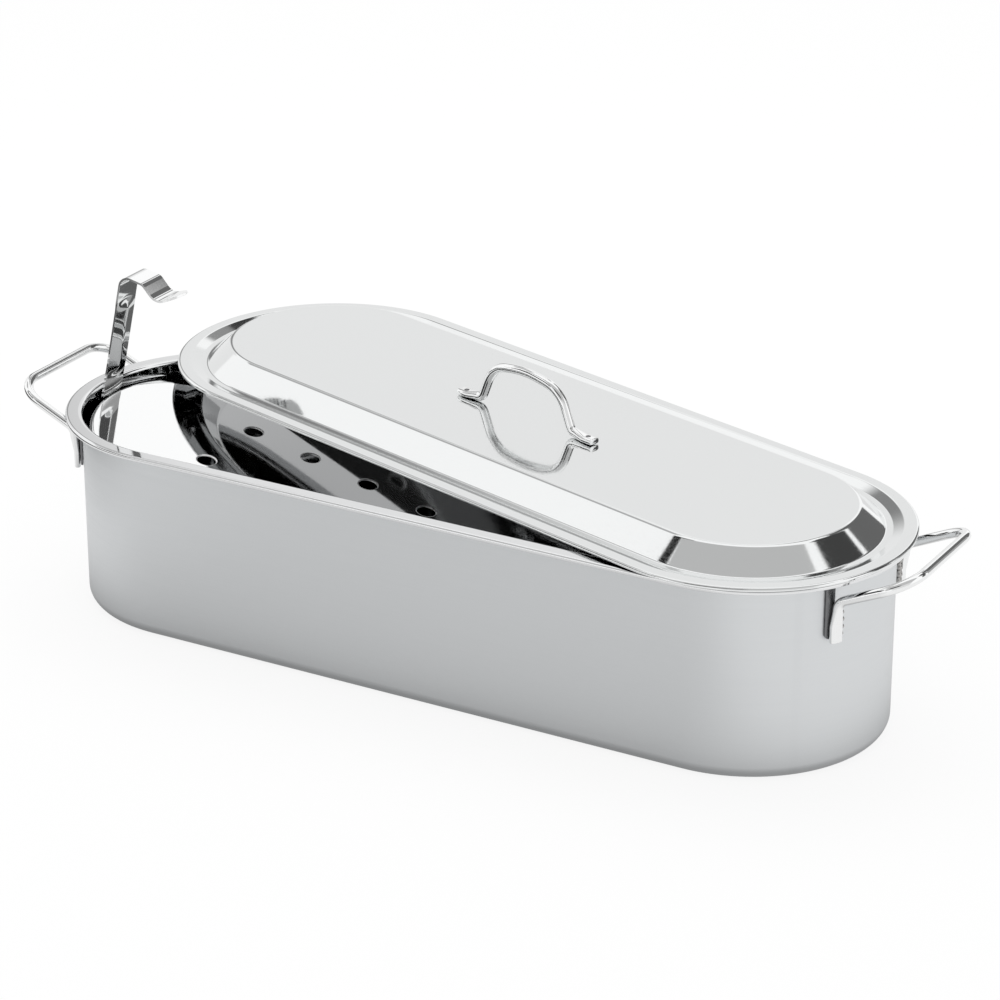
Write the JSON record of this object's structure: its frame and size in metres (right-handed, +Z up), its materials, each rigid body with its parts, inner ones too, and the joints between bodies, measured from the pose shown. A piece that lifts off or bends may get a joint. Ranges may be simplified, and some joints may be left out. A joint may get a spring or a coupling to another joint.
{
  "type": "fish kettle",
  "caption": "Long stainless-steel fish kettle: a drawn pan with wire side handles, a raised lid lying askew, and a lift-out perforated draining rack propped up at one end.",
  "frame": {"origin": "middle of the pan's flat underside, which is the face that it stands on", "axes": "+Z up, +X along the pan, towards the end where the rack lies low, +Y to the back, where the askew lid overhangs"},
  "size_m": [0.5254, 0.2558, 0.1716],
  "materials": {
    "satin_steel": "satin",
    "lid_steel": "gloss",
    "polished_steel": "polished"
  },
  "bodies": {
    "pan": {"pan_body": "satin_steel", "handle_left": "polished_steel", "handle_right": "polished_steel", "handle_pad_left_front": "polished_steel", "handle_pad_left_rear": "polished_steel", "handle_pad_right_front": "polished_steel", "handle_pad_right_rear": "polished_steel"},
    "rack": {"rack_plate": "polished_steel", "lifting_strip_left": "polished_steel", "lifting_strip_right": "polished_steel"},
    "lid": {"lid_shell": "lid_steel", "lid_handle": "polished_steel"}
  },
  "joints": [
    {"name": "rack_lift", "type": "slide", "parent": "pan", "child": "rack", "axis": [0, 0, 1], "range_m": [0, 0.125]},
    {"name": "lid_lift", "type": "slide", "parent": "rack", "child": "lid", "axis": [0, 0, 1], "range_m": [0, 0.12]}
  ]
}
